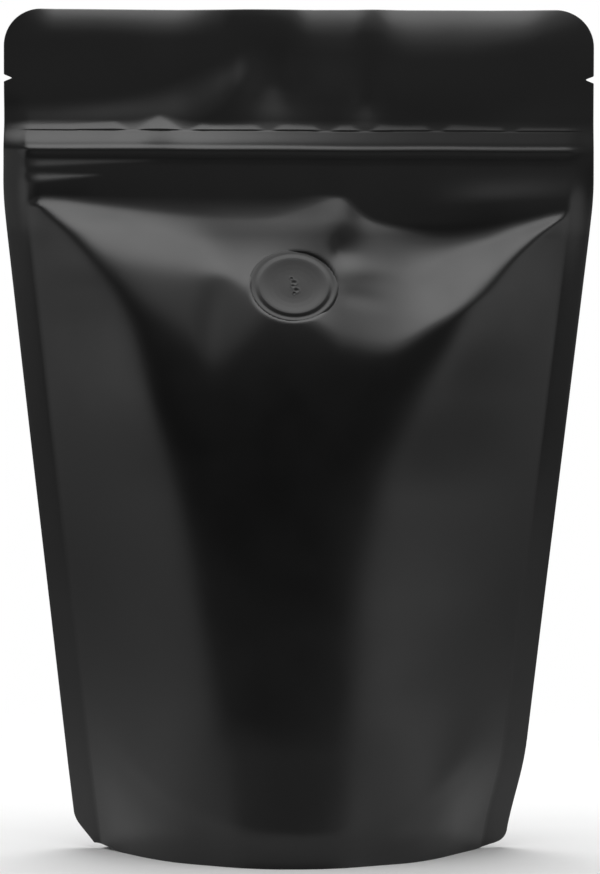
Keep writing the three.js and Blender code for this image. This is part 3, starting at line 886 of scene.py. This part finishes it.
def floor_material():
    material = new_material("pale_floor")
    nodes = material.node_tree.nodes
    links = material.node_tree.links
    shader = nodes["Principled BSDF"]
    shader.inputs["Roughness"].default_value = FLOOR_ROUGHNESS
    grain = nodes.new("ShaderNodeTexNoise")
    grain.inputs["Scale"].default_value = FLOOR_GRAIN
    ramp = nodes.new("ShaderNodeValToRGB")
    for element, shade in zip(ramp.color_ramp.elements, FLOOR_SHADES):
        element.color = (shade, shade, shade, 1.0)
    links.new(grain.outputs["Fac"], ramp.inputs["Fac"])
    links.new(ramp.outputs["Color"], shader.inputs["Base Color"])

    place = nodes.new("ShaderNodeTexCoord")
    distance = nodes.new("ShaderNodeVectorMath")
    distance.operation = "LENGTH"
    links.new(place.outputs["Object"], distance.inputs[0])
    fade = nodes.new("ShaderNodeMapRange")
    fade.interpolation_type = "SMOOTHSTEP"
    fade.inputs["From Min"].default_value = FLOOR_SOLID
    fade.inputs["From Max"].default_value = FLOOR_REACH
    fade.inputs["To Min"].default_value = 1.0
    fade.inputs["To Max"].default_value = 0.0
    links.new(distance.outputs["Value"], fade.inputs["Value"])
    links.new(fade.outputs["Result"], shader.inputs["Alpha"])
    return material


def make_floor():
    reach = FLOOR_REACH
    corners = np.array([(-reach, -reach, 0), (reach, -reach, 0), (reach, reach, 0), (-reach, reach, 0)])
    floor = mesh_piece("floor", corners, [(0, 1, 2, 3)])
    floor.data.materials.append(floor_material())


# Light, in metres: each softbox's place, target, width, height and radiance

POUCH_MIDDLE = (0.0, -0.02, 0.15)
SOFTBOXES = {
    "overhead": ((-0.02, 0.31, 0.85), (-0.02, 0.31, 0.0), 0.9, 1.18, 3.8),
    "front_high": ((0.0, -0.55, 0.83), POUCH_MIDDLE, 0.5, 0.25, 0.7),
    "left_side": ((-0.75, -0.10, 0.25), POUCH_MIDDLE, 0.8, 0.5, 1.04),
    "right_side": ((0.70, -0.28, 0.25), POUCH_MIDDLE, 0.8, 0.5, 1.16),
    "front_low": ((0.0, -1.2, -0.19), (0.0, 0.0, 0.2), 1.2, 0.36, 0.5),
    "front_strip": ((0.0, -0.12, 0.254), (0.0, 0.0, 0.254), 0.5, 0.092, 0.27),
}
WHITE = (1.0, 1.0, 1.0, 1.0)


def facing(place, target):
    return (Vector(target) - Vector(place)).to_track_quat("-Z", "Y").to_euler()


def softbox(name, place, target, width, height, radiance):
    """A rectangular light. Its power gives every point of it the same radiance whatever its size."""
    light = bpy.data.lights.new(name, "AREA")
    light.shape = "RECTANGLE"
    light.size = width
    light.size_y = height
    light.energy = radiance * pi * width * height
    lamp = bpy.data.objects.new(name, light)
    lamp.location = place
    lamp.visible_camera = False
    lamp.rotation_euler = facing(place, target)
    bpy.context.collection.objects.link(lamp)


def make_light():
    for name, settings in SOFTBOXES.items():
        softbox(name, *settings)
    world = bpy.data.worlds.new("studio")
    world.use_nodes = True
    world.node_tree.nodes["Background"].inputs["Color"].default_value = WHITE
    bpy.context.scene.world = world
    world.cycles_visibility.diffuse = False
    world.cycles_visibility.glossy = False
    bpy.context.scene.view_settings.view_transform = "Standard"


# Camera, in metres: the pouch's picture has the photograph's size

IMAGE_HEIGHT = 874
METRES_PER_PIXEL = 0.0002705
CAMERA_PLACE = Vector((0.0005, -1.0, 0.142))
CAMERA_TARGET = Vector((0.0005, 0.0, 0.1116))


def make_camera():
    camera = bpy.data.cameras.new("camera")
    distance = (CAMERA_TARGET - CAMERA_PLACE).length
    camera.lens = camera.sensor_width * distance / (IMAGE_HEIGHT * METRES_PER_PIXEL)
    viewer = bpy.data.objects.new("camera", camera)
    viewer.location = CAMERA_PLACE
    viewer.rotation_euler = facing(CAMERA_PLACE, CAMERA_TARGET)
    bpy.context.collection.objects.link(viewer)
    bpy.context.scene.camera = viewer


make_floor()
make_light()
make_camera()
